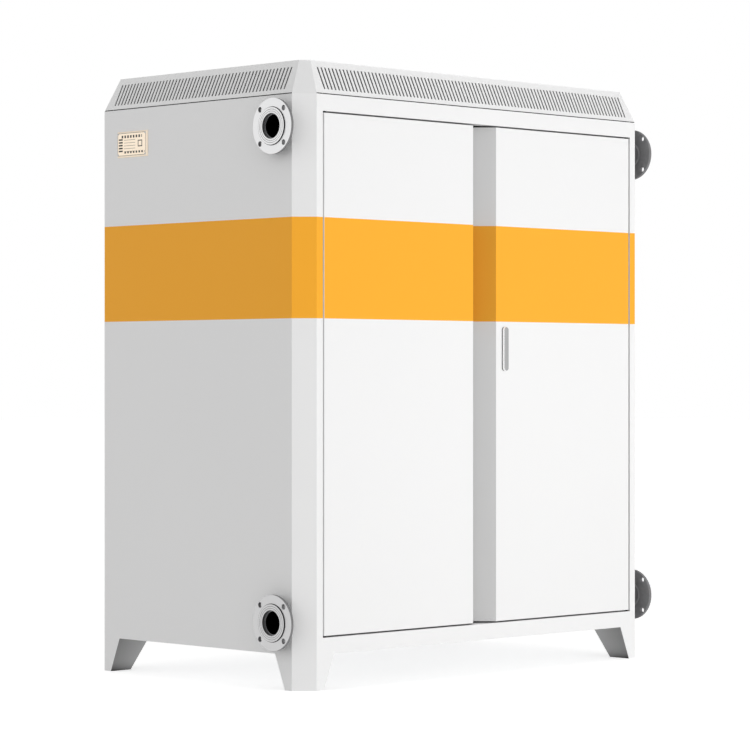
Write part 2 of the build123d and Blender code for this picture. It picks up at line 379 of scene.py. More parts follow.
@dataclass(frozen=True)
class GalvanisedSheet(Finish):
    """Hot-dip galvanised sheet with its spangle of crystal facets."""

    spangle: float = 0.014
    pale: Colour = (0.67, 0.675, 0.68)
    dark: Colour = (0.51, 0.515, 0.52)
    sheen: float = 0.30
    sheen_swing: float = 0.22
    grain: float = 0.0012
    grain_depth: float = 0.00002

    def surface(self, graph: Graph, place: Term) -> Surface:
        """Each crystal has its own tone and sheen."""
        crystals = {"Vector": place, "Scale": 1 / self.spangle}
        cells = graph.add("ShaderNodeTexVoronoi", inputs=crystals, output="Color")
        tone, gloss, _ = graph.split(cells)
        sheen = self.sheen + gloss * self.sheen_swing
        grain = graph.noise(place, self.grain)
        return Surface(graph.tint(tone, self.pale, self.dark), sheen, 1.0, grain, self.grain_depth)


def pipe_radius(y: Term, z: Term, axis_y: float, axis_heights: tuple[float, float]) -> Term:
    """The distance from the nearer of the two levels of pipe axes.

    Args:
        y: The place across the cabinet.
        z: The height.
        axis_y: Where the axes lie, from front to back.
        axis_heights: The heights of the two axes.

    Returns:
        The radius.
    """
    upper, lower = axis_heights
    rise = abs(z - upper).least(abs(z - lower))
    sideways = y - axis_y
    return (rise * rise + sideways * sideways).root()


@dataclass(frozen=True)
class Serration:
    """The rings that a lathe cuts into a flange's raised face to grip its gasket."""

    inner: float = 0.0390
    pitch: float = 0.0058
    count: int = 3
    ridge: float = 0.0008
    valley: float = 0.0011

    @property
    def outer(self) -> float:
        """The radius of the last ring."""
        return self.inner + (self.count - 1) * self.pitch


@dataclass(frozen=True)
class TurnedFlange(Finish):
    """Forged flange with a turned face, and forging scale on its rim and back."""

    axis_y: float
    axis_heights: tuple[float, float]
    face_x: float
    step: float = 0.003
    step_radius: float = 0.054
    step_half: float = 0.0010
    # The colour and strengths of the painted shade on the flange faces.
    shade_tone: Colour = (0.05, 0.05, 0.052)
    valley_shade_strength: float = 0.90
    lower_shade_strength: float = 0.28
    cut: float = 0.00055
    cut_depth: float = 0.00010
    turned: Colour = (0.86, 0.86, 0.86)
    turned_shade: Colour = (0.74, 0.74, 0.75)
    scale: Colour = (0.25, 0.25, 0.255)
    scale_shade: Colour = (0.17, 0.17, 0.175)
    scale_patch: float = 0.012
    edge: float = 0.0014
    turned_sheen: float = 0.36
    scale_sheen: float = 0.62
    scale_dullness: float = 0.6

    def surface(self, graph: Graph, place: Term) -> Surface:
        """Tool marks run in rings round the pipe's axis; shade is painted in the serration valleys, on the
        wall of the raised face's step and over the turned faces of the lower flanges.
        """
        x, y, z = graph.split(place)
        radius = pipe_radius(y, z, self.axis_y, self.axis_heights)
        lathe = {"W": radius / self.cut, "Detail": 1.0}
        marks = graph.add("ShaderNodeTexNoise", {"noise_dimensions": "1D"}, lathe)
        patches = graph.noise(place, self.scale_patch, detail=4.0)
        forged = abs(x) < self.face_x - self.edge
        raised = abs(x) > self.face_x + self.step / 2
        rings = Serration()
        # Painted shade in the valleys between the serration rings.
        offset = (radius - (rings.inner + (rings.pitch - rings.valley) / 2)).remainder(rings.pitch)
        valley = raised * (radius < rings.outer) * (offset < rings.valley) * self.valley_shade_strength
        # Painted shade on the cylindrical wall of the raised face's step.
        wall = abs(radius - (self.step_radius + self.step_half / 2)) < self.step_half
        # Painted shade: the turned faces of the lower flanges are darker.
        lower_shade = (z < sum(self.axis_heights) / 2) * self.lower_shade_strength
        turned = graph.tint(marks, self.turned, self.turned_shade)
        turned = graph.tint(valley.most(wall).most(lower_shade), turned, self.shade_tone)
        scale = graph.tint(patches, self.scale, self.scale_shade)
        sheen = self.turned_sheen + forged * (self.scale_sheen - self.turned_sheen)
        relief = marks * (1 - forged) + patches * forged
        metallic = 1 - forged * self.scale_dullness
        return Surface(graph.tint(forged, turned, scale), sheen, metallic, relief, self.cut_depth)


@dataclass(frozen=True)
class StreakedMetal(Finish):
    """Metal with a grain drawn out along one direction, as on tube, jackets and turned pins."""

    pale: Colour
    dark: Colour
    grain: float
    stretch: Colour
    sheen: float
    sheen_swing: float = 0.14
    blotch: float = 0.09
    grain_depth: float = 0.00003
    metallic: float = 1.0

    def surface(self, graph: Graph, place: Term) -> Surface:
        """Fine streaks over broad, faint blotches."""
        streaks = graph.noise(place, self.grain, detail=3.0, stretch=self.stretch)
        blotches = graph.noise(place, self.blotch)
        tone = graph.tint((streaks + blotches) / 2, self.pale, self.dark)
        sheen = self.sheen + (streaks - NOISE_MIDDLE) * self.sheen_swing
        return Surface(tone, sheen, self.metallic, streaks, self.grain_depth)


@dataclass(frozen=True)
class PipeSteel(StreakedMetal):
    """Drawn tube, with shade painted nearly black inside its straight bore."""

    axis_y: float = 0.0
    axis_heights: tuple[float, float] = (0.0, 0.0)
    straight_x: float = 0.0
    bore: float = 0.0336
    bore_shade: Colour = (0.012, 0.012, 0.012)

    def surface(self, graph: Graph, place: Term) -> Surface:
        """As outside, but with painted shade, nearly black, within the straight bore."""
        look = super().surface(graph, place)
        x, y, z = graph.split(place)
        radius = pipe_radius(y, z, self.axis_y, self.axis_heights)
        # Painted shade, nearly black, inside the straight bore of each pipe end.
        inside = (radius < self.bore) * (abs(x) > self.straight_x)
        look.colour = graph.tint(inside, look.colour, self.bore_shade)
        return look


@dataclass(frozen=True)
class PinSteel(StreakedMetal):
    """Bright fasteners, and hinge pins blackened with oil."""

    pivot_x: float = 0.0
    pivot_y: float = 0.0
    pivot_reach: float = 0.007
    oiled: Colour = (0.03, 0.03, 0.03)

    def surface(self, graph: Graph, place: Term) -> Surface:
        """Dark close to the two pivots."""
        look = super().surface(graph, place)
        x, y, _ = graph.split(place)
        away = abs(abs(x) - self.pivot_x).most(abs(y - self.pivot_y))
        look.colour = graph.tint(away < self.pivot_reach, look.colour, self.oiled)
        return look


@dataclass(frozen=True)
class ShadeBlackCoat(Finish):
    """Rough near-black matt coat on the plates behind the slots, as painted shade inside the crown."""

    # Near-black, as painted shade behind the slots.
    dark: Colour = (0.030, 0.030, 0.031)
    pale: Colour = (0.055, 0.055, 0.056)
    grit: float = 0.0018
    grit_depth: float = 0.0001
    dust: float = 0.05
    sheen: float = 0.75

    def surface(self, graph: Graph, place: Term) -> Surface:
        """Gritty, with a faint bloom of dust."""
        grit = graph.noise(place, self.grit)
        dust = graph.noise(place, self.dust, detail=4.0)
        return Surface(graph.tint(dust, self.dark, self.pale), self.sheen, 0.0, grit, self.grit_depth)


@dataclass(frozen=True)
class SatinHandle(Finish):
    """Satin face between polished edges, with shade painted black round its foot, for the pull of the right
    door.
    """

    face_y: float
    foot_y: float
    rim: float = 0.0012
    foot_shade_band: float = 0.0030
    satin: Colour = (0.47, 0.47, 0.475)
    satin_shade: Colour = (0.42, 0.42, 0.425)
    polished: Colour = (0.97, 0.97, 0.97)
    foot_shade_black: Colour = (0.02, 0.02, 0.02)
    brush: float = 0.0009
    brush_depth: float = 0.00002
    stretch: Colour = (1.0, 1.0, 0.04)
    satin_sheen: float = 0.42
    polished_sheen: float = 0.16
    foot_shade_sheen: float = 0.60

    def surface(self, graph: Graph, place: Term) -> Surface:
        """The flat face is brushed upright, and a band of painted shade lies between the foot and the door.
        """
        _, y, _ = graph.split(place)
        edge = y > self.face_y + self.rim
        # Painted shade: a black band round the foot, where the handle meets the door.
        foot_shade_band = y > self.foot_y - self.foot_shade_band
        brush = graph.noise(place, self.brush, detail=3.0, stretch=self.stretch)
        satin = graph.tint(brush, self.satin, self.satin_shade)
        metal = graph.tint(edge, satin, self.polished)
        sheen = self.satin_sheen + edge * (self.polished_sheen - self.satin_sheen)
        sheen = sheen + foot_shade_band * (self.foot_shade_sheen - self.polished_sheen)
        relief = brush * (1 - edge)
        return Surface(graph.tint(foot_shade_band, metal, self.foot_shade_black), sheen, 1 - foot_shade_band, relief, self.brush_depth)


@dataclass(frozen=True)
class PlateEnamel(Finish):
    """Cream pearl enamel with a ruled border and plain rows of bars and rules, as an empty form has."""

    face_x: float
    rear_y: float
    top_z: float
    length: float
    height: float
    cream: Colour = (1.0, 0.87, 0.71)
    cream_shade: Colour = (0.97, 0.83, 0.66)
    ink_and_bevel_shade: Colour = (0.012, 0.011, 0.010)
    lustre: float = 0.90
    bevel_shade_strength: float = 0.10
    ink_strength: float = 0.98
    rule_strength: float = 0.75
    frame_strength: float = 0.85
    frame_inset: float = 0.0045
    frame_line: float = 0.0016
    dash_pitch: float = 0.0130
    dash: float = 0.0074
    foot_start: float = 0.036
    foot_rise: float = 0.0150
    foot_half: float = 0.0032
    title_drop: float = 0.016
    title_half: float = 0.0040
    title_margin: float = 0.022
    row_drop: float = 0.022
    row_pitch: float = 0.0086
    row_count: int = 5
    bar_start: float = 0.010
    bar_end: float = 0.028
    bar_height: float = 0.0047
    rule_start: float = 0.034
    rule_end: float = 0.086
    rule_height: float = 0.0014
    box_middle: float = 0.108
    box_drop: float = 0.038
    box_half: float = 0.0100
    box_line: float = 0.0030
    print_depth: float = 0.0004
    cloud: float = 0.03
    peel: float = 0.0015
    peel_depth: float = 0.00003
    sheen: float = 0.30
    sheen_swing: float = 0.1

    def surface(self, graph: Graph, place: Term) -> Surface:
        """Dashes at head and foot, and rows of a bar and a rule beside an empty box, on the flat face."""
        x, y, z = graph.split(place)
        along = self.rear_y - y
        down = self.top_z - z
        face = x < self.face_x + self.print_depth
        title = abs(down - self.title_drop) < self.title_half
        title = title * along.between(self.title_margin, self.length - self.title_margin)
        foot = abs(down - (self.height - self.foot_rise)) < self.foot_half
        foot = foot * along.between(self.foot_start, self.length - self.bar_start)
        dashes = title.most(foot) * ((along - self.bar_start).remainder(self.dash_pitch) < self.dash)
        reach = abs(along - self.box_middle).most(abs(down - self.box_drop))
        box = reach.between(self.box_half - self.box_line, self.box_half)
        border = along.least(self.length - along).least(down).least(self.height - down)
        border = border.between(self.frame_inset, self.frame_inset + self.frame_line) * self.frame_strength
        rows = down.between(self.row_drop, self.row_drop + self.row_count * self.row_pitch)
        step = (down - self.row_drop).remainder(self.row_pitch)
        bars = rows * (step < self.bar_height) * along.between(self.bar_start, self.bar_end)
        rules = rows * step.between(self.bar_height - self.rule_height, self.bar_height)
        rules = rules * along.between(self.rule_start, self.rule_end)
        ink_and_bevel_shade = dashes.most(bars).most(box) * self.ink_strength
        ink_and_bevel_shade = ink_and_bevel_shade.most(rules * self.rule_strength).most(border)
        # Painted shade: the bevelled edges off the flat face take a faint tint of the ink colour.
        ink_and_bevel_shade = face * ink_and_bevel_shade + (1 - face) * self.bevel_shade_strength
        clouds = graph.noise(place, self.cloud)
        cream = graph.tint(clouds, self.cream, self.cream_shade)
        peel = graph.noise(place, self.peel)
        colour = graph.tint(ink_and_bevel_shade, cream, self.ink_and_bevel_shade)
        sheen = self.sheen + clouds * self.sheen_swing
        lustre = (1 - ink_and_bevel_shade) * self.lustre
        return Surface(colour, sheen, lustre, peel, self.peel_depth)


Palette = dict[Slot, bpy.types.Material]


class ShapeTree(Graph):
    """A Geometry Nodes tree whose named inputs are the sizes of what it makes."""

    def __init__(self, name: str, sizes: Mapping[str, str]) -> None:
        """Opens the tree.

        Args:
            name: The tree's name.
            sizes: Its own inputs, as names and socket types, beside a place, a turn and a coat.
        """
        super().__init__(bpy.data.node_groups.new(name, "GeometryNodeTree"))
        interface = self.tree.interface
        interface.new_socket("Shape", in_out="OUTPUT", socket_type="NodeSocketGeometry")
        for label, kind in {**sizes, "Place": "Vector", "Turn": "Vector", "Coat": "Material"}.items():
            interface.new_socket(label, in_out="INPUT", socket_type=f"NodeSocket{kind}")
        self.entry = self.tree.nodes.new("NodeGroupInput")

    def given(self, label: str) -> Term:
        """One of the tree's named inputs."""
        return Term(self, self.entry.outputs[label])

    def close(self, shape: Term) -> None:
        """Turns and places the shape, realizes its instances and coats it."""
        turn = self.add("FunctionNodeEulerToRotation", inputs={0: self.given("Turn")})
        put = {"Geometry": shape, "Translation": self.given("Place"), "Rotation": turn}
        placed = self.add("GeometryNodeTransform", inputs=put)
        real = self.add("GeometryNodeRealizeInstances", inputs={"Geometry": placed})
        coat = {"Geometry": real, "Material": self.given("Coat")}
        coated = self.add("GeometryNodeSetMaterial", inputs=coat)
        self.add("NodeGroupOutput", inputs={0: coated})

    def make(self, coat: bpy.types.Material, place: Vector, facing: Facing, **sizes: Any) -> bpy.types.Mesh:
        """Runs the tree once.

        Args:
            coat: The material.
            place: Where the shape's own origin goes.
            facing: The side that its upward axis points to.
            sizes: The tree's own inputs, with underscores for spaces.

        Returns:
            A plain mesh, in place.
        """
        values = {name.replace("_", " ").title(): value for name, value in sizes.items()}
        values.update(Coat=coat, Place=tuple(place), Turn=facing.value)
        holder = bpy.data.objects.new(self.tree.name, bpy.data.meshes.new(self.tree.name))
        bpy.context.scene.collection.objects.link(holder)
        modifier = holder.modifiers.new(self.tree.name, "NODES")
        modifier.node_group = self.tree
        for item in self.tree.interface.items_tree:
            if item.in_out == "INPUT":
                modifier[item.identifier] = values[item.name]
        evaluated = holder.evaluated_get(bpy.context.evaluated_depsgraph_get())
        mesh = bpy.data.meshes.new_from_object(evaluated)
        holder.modifiers.remove(modifier)
        bpy.data.objects.remove(holder)
        return mesh


def fastener_tree() -> ShapeTree:
    """A field of fasteners in columns and rows, each turned by chance.

    Returns:
        The tree, with the heads facing up.
    """
    counts = {"Columns": "Int", "Rows": "Int", "Seed": "Int"}
    sizes = {"Width": "Float", "Height": "Float", "Head": "Object"}
    tree = ShapeTree("fastener_field", {**counts, **sizes})
    grid = tree.add(
        "GeometryNodeMeshGrid",
        inputs={
            "Size X": tree.given("Width"),
            "Size Y": tree.given("Height"),
            "Vertices X": tree.given("Columns"),
            "Vertices Y": tree.given("Rows"),
        },
    )
    head = tree.add("GeometryNodeObjectInfo", inputs={"Object": tree.given("Head")}, output="Geometry")
    chance = {2: 0.0, 3: tau, "Seed": tree.given("Seed")}
    angle = tree.add("FunctionNodeRandomValue", {"data_type": "FLOAT"}, chance, 1)
    euler = tree.add("ShaderNodeCombineXYZ", inputs={"Z": angle})
    spin = tree.add("FunctionNodeEulerToRotation", inputs={0: euler})
    heads = {"Points": grid, "Instance": head, "Rotation": spin}
    tree.close(tree.add("GeometryNodeInstanceOnPoints", inputs=heads))
    return tree


def serration_tree() -> ShapeTree:
    """Ridges in rings, as a lathe leaves them on a flange's raised face.

    Returns:
        The tree, with the rings lying flat.
    """
    sizes = {"Inner": "Float", "Pitch": "Float", "Count": "Int", "Ridge": "Float"}
    tree = ShapeTree("serrated_face", sizes)
    points = tree.add("GeometryNodePoints", inputs={"Count": tree.given("Count")})
    unit = {"Resolution": RING_STEPS, "Radius": 1.0}
    circle = tree.add("GeometryNodeCurvePrimitiveCircle", inputs=unit)
    radius = tree.given("Inner") + tree.add("GeometryNodeInputIndex") * tree.given("Pitch")
    spread = {"Points": points, "Instance": circle, "Scale": radius}
    rings = tree.add("GeometryNodeInstanceOnPoints", inputs=spread)
    paths = tree.add("GeometryNodeRealizeInstances", inputs={"Geometry": rings})
    ridge = {"Resolution": RIDGE_SIDES, "Radius": tree.given("Ridge")}
    section = tree.add("GeometryNodeCurvePrimitiveCircle", inputs=ridge)
    tree.close(tree.add("GeometryNodeCurveToMesh", inputs={"Curve": paths, "Profile Curve": section}))
    return tree


def weld_tree() -> ShapeTree:
    """A ring of overlapping weld beads.

    Returns:
        The tree, with the ring lying flat.
    """
    tree = ShapeTree("weld_ring", {"Radius": "Float", "Beads": "Int", "Bead": "Float"})
    ring = {"Resolution": tree.given("Beads"), "Radius": tree.given("Radius")}
    path = tree.add("GeometryNodeCurvePrimitiveCircle", inputs=ring)
    points = tree.add("GeometryNodeCurveToPoints", {"mode": "EVALUATED"}, {"Curve": path})
    drop = {"Segments": BEAD_SEGMENTS, "Rings": BEAD_RINGS, "Radius": tree.given("Bead")}
    bead = tree.add("GeometryNodeMeshUVSphere", inputs=drop)
    turn = points.output("Rotation")
    row = {"Points": points, "Instance": bead, "Rotation": turn, "Scale": BEAD_SHAPE}
    tree.close(tree.add("GeometryNodeInstanceOnPoints", inputs=row))
    return tree


def strap_tree() -> ShapeTree:
    """A stack of flat straps round an upright vessel.

    Returns:
        The tree, with the first strap at its origin.
    """
    sizes = {"Radius": "Float", "Breadth": "Float", "Gauge": "Float", "Count": "Int", "Pitch": "Float"}
    tree = ShapeTree("vessel_straps", sizes)
    girth = {"Resolution": STRAP_STEPS, "Radius": tree.given("Radius")}
    ring = tree.add("GeometryNodeCurvePrimitiveCircle", inputs=girth)
    flat = {"Width": tree.given("Gauge"), "Height": tree.given("Breadth")}
    section = tree.add("GeometryNodeCurvePrimitiveQuadrilateral", inputs=flat)
    strap = tree.add("GeometryNodeCurveToMesh", inputs={"Curve": ring, "Profile Curve": section})
    rise = tree.add("ShaderNodeCombineXYZ", inputs={"Z": tree.given("Pitch")})
    line = tree.add("GeometryNodeMeshLine", inputs={"Count": tree.given("Count"), "Offset": rise})
    tree.close(tree.add("GeometryNodeInstanceOnPoints", inputs={"Points": line, "Instance": strap}))
    return tree


def ring_points(sides: int, radius: float, height: float, turn: float = 0.0) -> list[Vector]:
    """Points of a level ring.

    Args:
        sides: How many points it has.
        radius: Its radius.
        height: Its height.
        turn: The angle of its first point.

    Returns:
        The points, anticlockwise from above.
    """
    steps = (turn + tau * i / sides for i in range(sides))
    return [Vector((radius * cos(a), radius * sin(a), height)) for a in steps]


def stacked_rings(name: str, rings: Sequence[Sequence[Vector]]) -> bpy.types.Object:
    """Skins rings of as many points each, and closes both ends.

    Args:
        name: The object's name.
        rings: The rings, in order from the outside of the foot to the middle of the top.

    Returns:
        An object that isn't in the scene, to be repeated by a tree.
    """
    shape = bmesh.new()
    loops = [[shape.verts.new(p) for p in ring] for ring in rings]
    sides = len(loops[0])
    for low, high in zip(loops, loops[1:]):
        for i in range(sides):
            j = (i + 1) % sides
            shape.faces.new((low[i], low[j], high[j], high[i]))
    shape.faces.new(list(reversed(loops[0])))
    shape.faces.new(loops[-1])
    bmesh.ops.recalc_face_normals(shape, faces=shape.faces)
    mesh = bpy.data.meshes.new(name)
    shape.to_mesh(mesh)
    shape.free()
    return bpy.data.objects.new(name, mesh)


@dataclass(frozen=True)
class SocketScrew:
    """A button-head screw with a six-sided socket."""

    radius: float
    rise: float
    sides: int = 12
    socket_share: float = 0.46
    shoulder_share: float = 0.86
    crown_share: float = 0.66
    collar_rise_share: float = 0.40
    shoulder_rise_share: float = 0.85
    sunk_share: float = 0.30

    def head(self, name: str) -> bpy.types.Object:
        """The head, standing on zero."""
        socket = self.radius * self.socket_share
        hexagon = [socket if i % 2 else socket * cos(pi / 6) ** 2 for i in range(self.sides)]
        angles = [tau * i / self.sides for i in range(self.sides)]
        rim = [Vector((r * cos(a), r * sin(a), self.rise)) for r, a in zip(hexagon, angles)]
        floor = [p - Vector((0, 0, self.rise * (1 - self.sunk_share))) for p in rim]
        rings = [
            ring_points(self.sides, self.radius, 0.0),
            ring_points(self.sides, self.radius, self.rise * self.collar_rise_share),
            ring_points(self.sides, self.radius * self.shoulder_share, self.rise * self.shoulder_rise_share),
            ring_points(self.sides, self.radius * self.crown_share, self.rise),
            rim,
            floor,
        ]
        return stacked_rings(name, rings)


@dataclass(frozen=True)
class DomeRivet:
    """A blind rivet with a low domed head."""

    radius: float
    rise: float
    sides: int = 12
    steps: int = 4
    top_share: float = 0.22

    def head(self, name: str) -> bpy.types.Object:
        """The head, standing on zero."""
        rings = []
        for i in range(self.steps):
            angle = (1 - self.top_share) * pi / 2 * i / (self.steps - 1)
            rings.append(ring_points(self.sides, self.radius * cos(angle), self.rise * sin(angle)))
        return stacked_rings(name, rings)


def add_piece(
    name: str, meshes: Iterable[bpy.types.Mesh], body: Body, coat: bpy.types.Material
) -> None:
    """Joins meshes into one piece that rides a body.

    Args:
        name: The piece's name.
        meshes: Plain meshes, in place.
        body: The body that carries it.
        coat: The slot's material.
    """
    shape = bmesh.new()
    for mesh in meshes:
        shape.from_mesh(mesh)
        bpy.data.meshes.remove(mesh)
    for face in shape.faces:
        face.material_index = 0
        face.smooth = True
    joined = bpy.data.meshes.new(name)
    shape.to_mesh(joined)
    shape.free()
    joined.materials.append(coat)
    joined.set_sharp_from_angle(angle=SHARP_ANGLE)
    piece = bpy.data.objects.new(name, joined)
    bpy.context.scene.collection.objects.link(piece)
    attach(piece, body.value)
    LOG.info("%s: %d faces on %s", name, len(joined.polygons), body.value)


@dataclass
class Trees:
    """The trees that the sub-assemblies share."""

    fasteners: ShapeTree = field(default_factory=fastener_tree)
    serration: ShapeTree = field(default_factory=serration_tree)
    weld: ShapeTree = field(default_factory=weld_tree)
    straps: ShapeTree = field(default_factory=strap_tree)


@dataclass
class Cabinet:
    """The painted sheet-metal housing, with the screws that hold its back panel."""

    palette: Palette
    trees: Trees
    screw: SocketScrew = SocketScrew(radius=0.0065, rise=0.0036)
    screw_rows: int = 9
    screw_edge: float = 0.022
    screw_end: float = 0.075
    seed: int = 3

    def dress(self) -> None:
        """Gives every node the finish of its slot."""
        for row in frame["record"]["subparts"]:
            mesh = frame["nodes"][row["node"]].data
            mesh.materials.clear()
            mesh.materials.append(self.palette[Slot(row["material_slot"])])
            LOG.info("%s: %s", row["node"], row["material_slot"])

    def build(self) -> None:
        """Adds the screws of the back panel, down its two upright edges."""
        low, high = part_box("back_panel")
        head = self.screw.head("panel_screw")
        coat = self.palette[Slot.PIN]
        field_of_screws = self.trees.fasteners.make(
            coat,
            Vector(((low.x + high.x) / 2, high.y, (low.z + high.z) / 2)),
            Facing.BACK,
            columns=2,
            rows=self.screw_rows,
            width=high.x - low.x - 2 * self.screw_edge,
            height=high.z - low.z - 2 * self.screw_end,
            head=head,
            seed=self.seed,
        )
        bpy.data.objects.remove(head)
        add_piece("back_panel_screws", [field_of_screws], Body.CABINET, coat)


@dataclass
class PipeEnds:
    """The four flanged pipe ends: the cut of their raised faces, and the welds behind them."""

    palette: Palette
    trees: Trees
    rings: Serration = Serration()
    sink: float = 0.0003
    bead: float = 0.0042
    beads: int = 56

    def build(self) -> None:
        """Adds one piece for the serrations and one for the welds."""
        serrations, welds = [], []
        for level in LEVELS:
            for side, sign in SIDE_SIGNS.items():
                low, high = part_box(f"{level}_{side}_flange")
                pipe_low, pipe_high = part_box(f"{level}_{side}_stub")
                middle = (low + high) / 2
                face_x = sign * max(abs(low.x), abs(high.x))
                back_x = sign * min(abs(low.x), abs(high.x))
                facing = Facing.RIGHT if sign > 0 else Facing.LEFT
                serrations.append(
                    self.trees.serration.make(
                        self.palette[Slot.FLANGE],
                        Vector((face_x - sign * self.sink, middle.y, middle.z)),
                        facing,
                        inner=self.rings.inner,
                        pitch=self.rings.pitch,
                        count=self.rings.count,
                        ridge=self.rings.ridge,
                    )
                )
                welds.append(
                    self.trees.weld.make(
                        self.palette[Slot.PIPE],
                        Vector((back_x, middle.y, middle.z)),
                        facing,
                        radius=(pipe_high.z - pipe_low.z) / 2,
                        beads=self.beads,
                        bead=self.bead,
                    )
                )
        add_piece("flange_serrations", serrations, Body.CABINET, self.palette[Slot.FLANGE])
        add_piece("flange_welds", welds, Body.CABINET, self.palette[Slot.PIPE])


@dataclass
class Nameplate:
    """The bare plate on the left side, and the screws in its corners."""

    palette: Palette
    trees: Trees
    screw: SocketScrew = SocketScrew(radius=0.0028, rise=0.0014)
    inset: float = 0.0075
    seed: int = 5

    def build(self) -> None:
        """Adds a screw in each corner."""
        low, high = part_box("nameplate")
        head = self.screw.head("plate_screw")
        coat = self.palette[Slot.PIN]
        screws = self.trees.fasteners.make(
            coat,
            Vector((low.x, (low.y + high.y) / 2, (low.z + high.z) / 2)),
            Facing.LEFT,
            columns=2,
            rows=2,
            width=high.z - low.z - 2 * self.inset,
            height=high.y - low.y - 2 * self.inset,
            head=head,
            seed=self.seed,
        )
        bpy.data.objects.remove(head)
        add_piece("nameplate_screws", [screws], Body.CABINET, coat)


@dataclass
class Doors:
    """The two door leaves: the rivets of their liners, and the lip that covers their meeting gap."""

    palette: Palette
    trees: Trees
    rivet: DomeRivet = DomeRivet(radius=0.0048, rise=0.0020)
    upright_rows: int = 11
    level_columns: int = 4
    inset: float = 0.016
    lip_clear: float = 0.0002
    lip_gauge: float = 0.0010
    lip_end: float = 0.002
    seed: int = 7

    def build(self) -> None:
        """Adds the lip, and the rivets of each liner."""
        self.add_lip()
        self.add_rivets()

    def add_lip(self) -> None:
        """Carries the bevel of the right leaf on, as far as the middle of the cabinet."""
        low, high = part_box("right_door")
        run = low.x - self.lip_clear
        fold = self.lip_gauge * ROOT_HALF
        plan = [
            (low.x, high.y),
            (low.x + 2 * fold, high.y),
            (self.lip_clear + fold, high.y + run + fold),
            (self.lip_clear, high.y + run),
        ]
        levels = (low.z + self.lip_end, high.z - self.lip_end)
        ends = [[Vector((x, y, z)) for x, y in plan] for z in levels]
        lip = stacked_rings("meeting_lip", ends)
        strip = lip.data
        bpy.data.objects.remove(lip)
        add_piece("meeting_lip", [strip], Body.RIGHT_DOOR, self.palette[Slot.PAINT])

    def add_rivets(self) -> None:
        """Sets rivets down the long edges of each liner, and along its short ones."""
        for side, body in (("left", Body.LEFT_DOOR), ("right", Body.RIGHT_DOOR)):
            low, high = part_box(f"{side}_door_liner")
            middle = Vector(((low.x + high.x) / 2, high.y, (low.z + high.z) / 2))
            width = high.x - low.x - 2 * self.inset
            height = high.z - low.z - 2 * self.inset
            between = width * (self.level_columns - 1) / (self.level_columns + 1)
            head = self.rivet.head("liner_rivet")
            coat = self.palette[Slot.PIN]
            rows = {"columns": 2, "rows": self.upright_rows, "width": width, "height": height}
            ends = {"columns": self.level_columns, "rows": 2, "width": between, "height": height}
            fields = [
                self.trees.fasteners.make(coat, middle, Facing.BACK, head=head, seed=self.seed, **sizes)
                for sizes in (rows, ends)
            ]
            bpy.data.objects.remove(head)
            add_piece(f"{side}_liner_rivets", fields, body, coat)


@dataclass
class HeatingPlant:
    """The three upright vessels behind the doors, with straps and a riveted seam on their jackets."""

    palette: Palette
    trees: Trees
    numbers: tuple[int, ...] = (1, 2, 3)
    strap_breadth: float = 0.022
    strap_gauge: float = 0.0016
    strap_count: int = 4
    strap_margin_share: float = 0.16
    rivet: DomeRivet = DomeRivet(radius=0.0040, rise=0.0018)
    rivet_rows: int = 16

    def build(self) -> None:
        """Adds the straps and the seams."""
        straps, seams = [], []
        coat = self.palette[Slot.GALVANISED]
        head = self.rivet.head("seam_rivet")
        for number in self.numbers:
            low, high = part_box(f"heating_cylinder_{number}")
            middle = (low + high) / 2
            radius = (high.x - low.x) / 2
            span = (high.z - low.z) * (1 - 2 * self.strap_margin_share)
            foot = middle.z - span / 2
            straps.append(
                self.trees.straps.make(
                    coat,
                    Vector((middle.x, middle.y, foot)),
                    Facing.UP,
                    radius=radius,
                    breadth=self.strap_breadth,
                    gauge=self.strap_gauge,
                    count=self.strap_count,
                    pitch=span / (self.strap_count - 1),
                )
            )
            seams.append(
                self.trees.fasteners.make(
                    self.palette[Slot.PIN],
                    Vector((middle.x, middle.y - radius, middle.z)),
                    Facing.FRONT,
                    columns=1,
                    rows=self.rivet_rows,
                    width=0.0,
                    height=span - 2 * self.strap_breadth,
                    head=head,
                    seed=number,
                )
            )
        bpy.data.objects.remove(head)
        add_piece("vessel_straps", straps, Body.CABINET, coat)
        add_piece("vessel_seam_rivets", seams, Body.CABINET, self.palette[Slot.PIN])


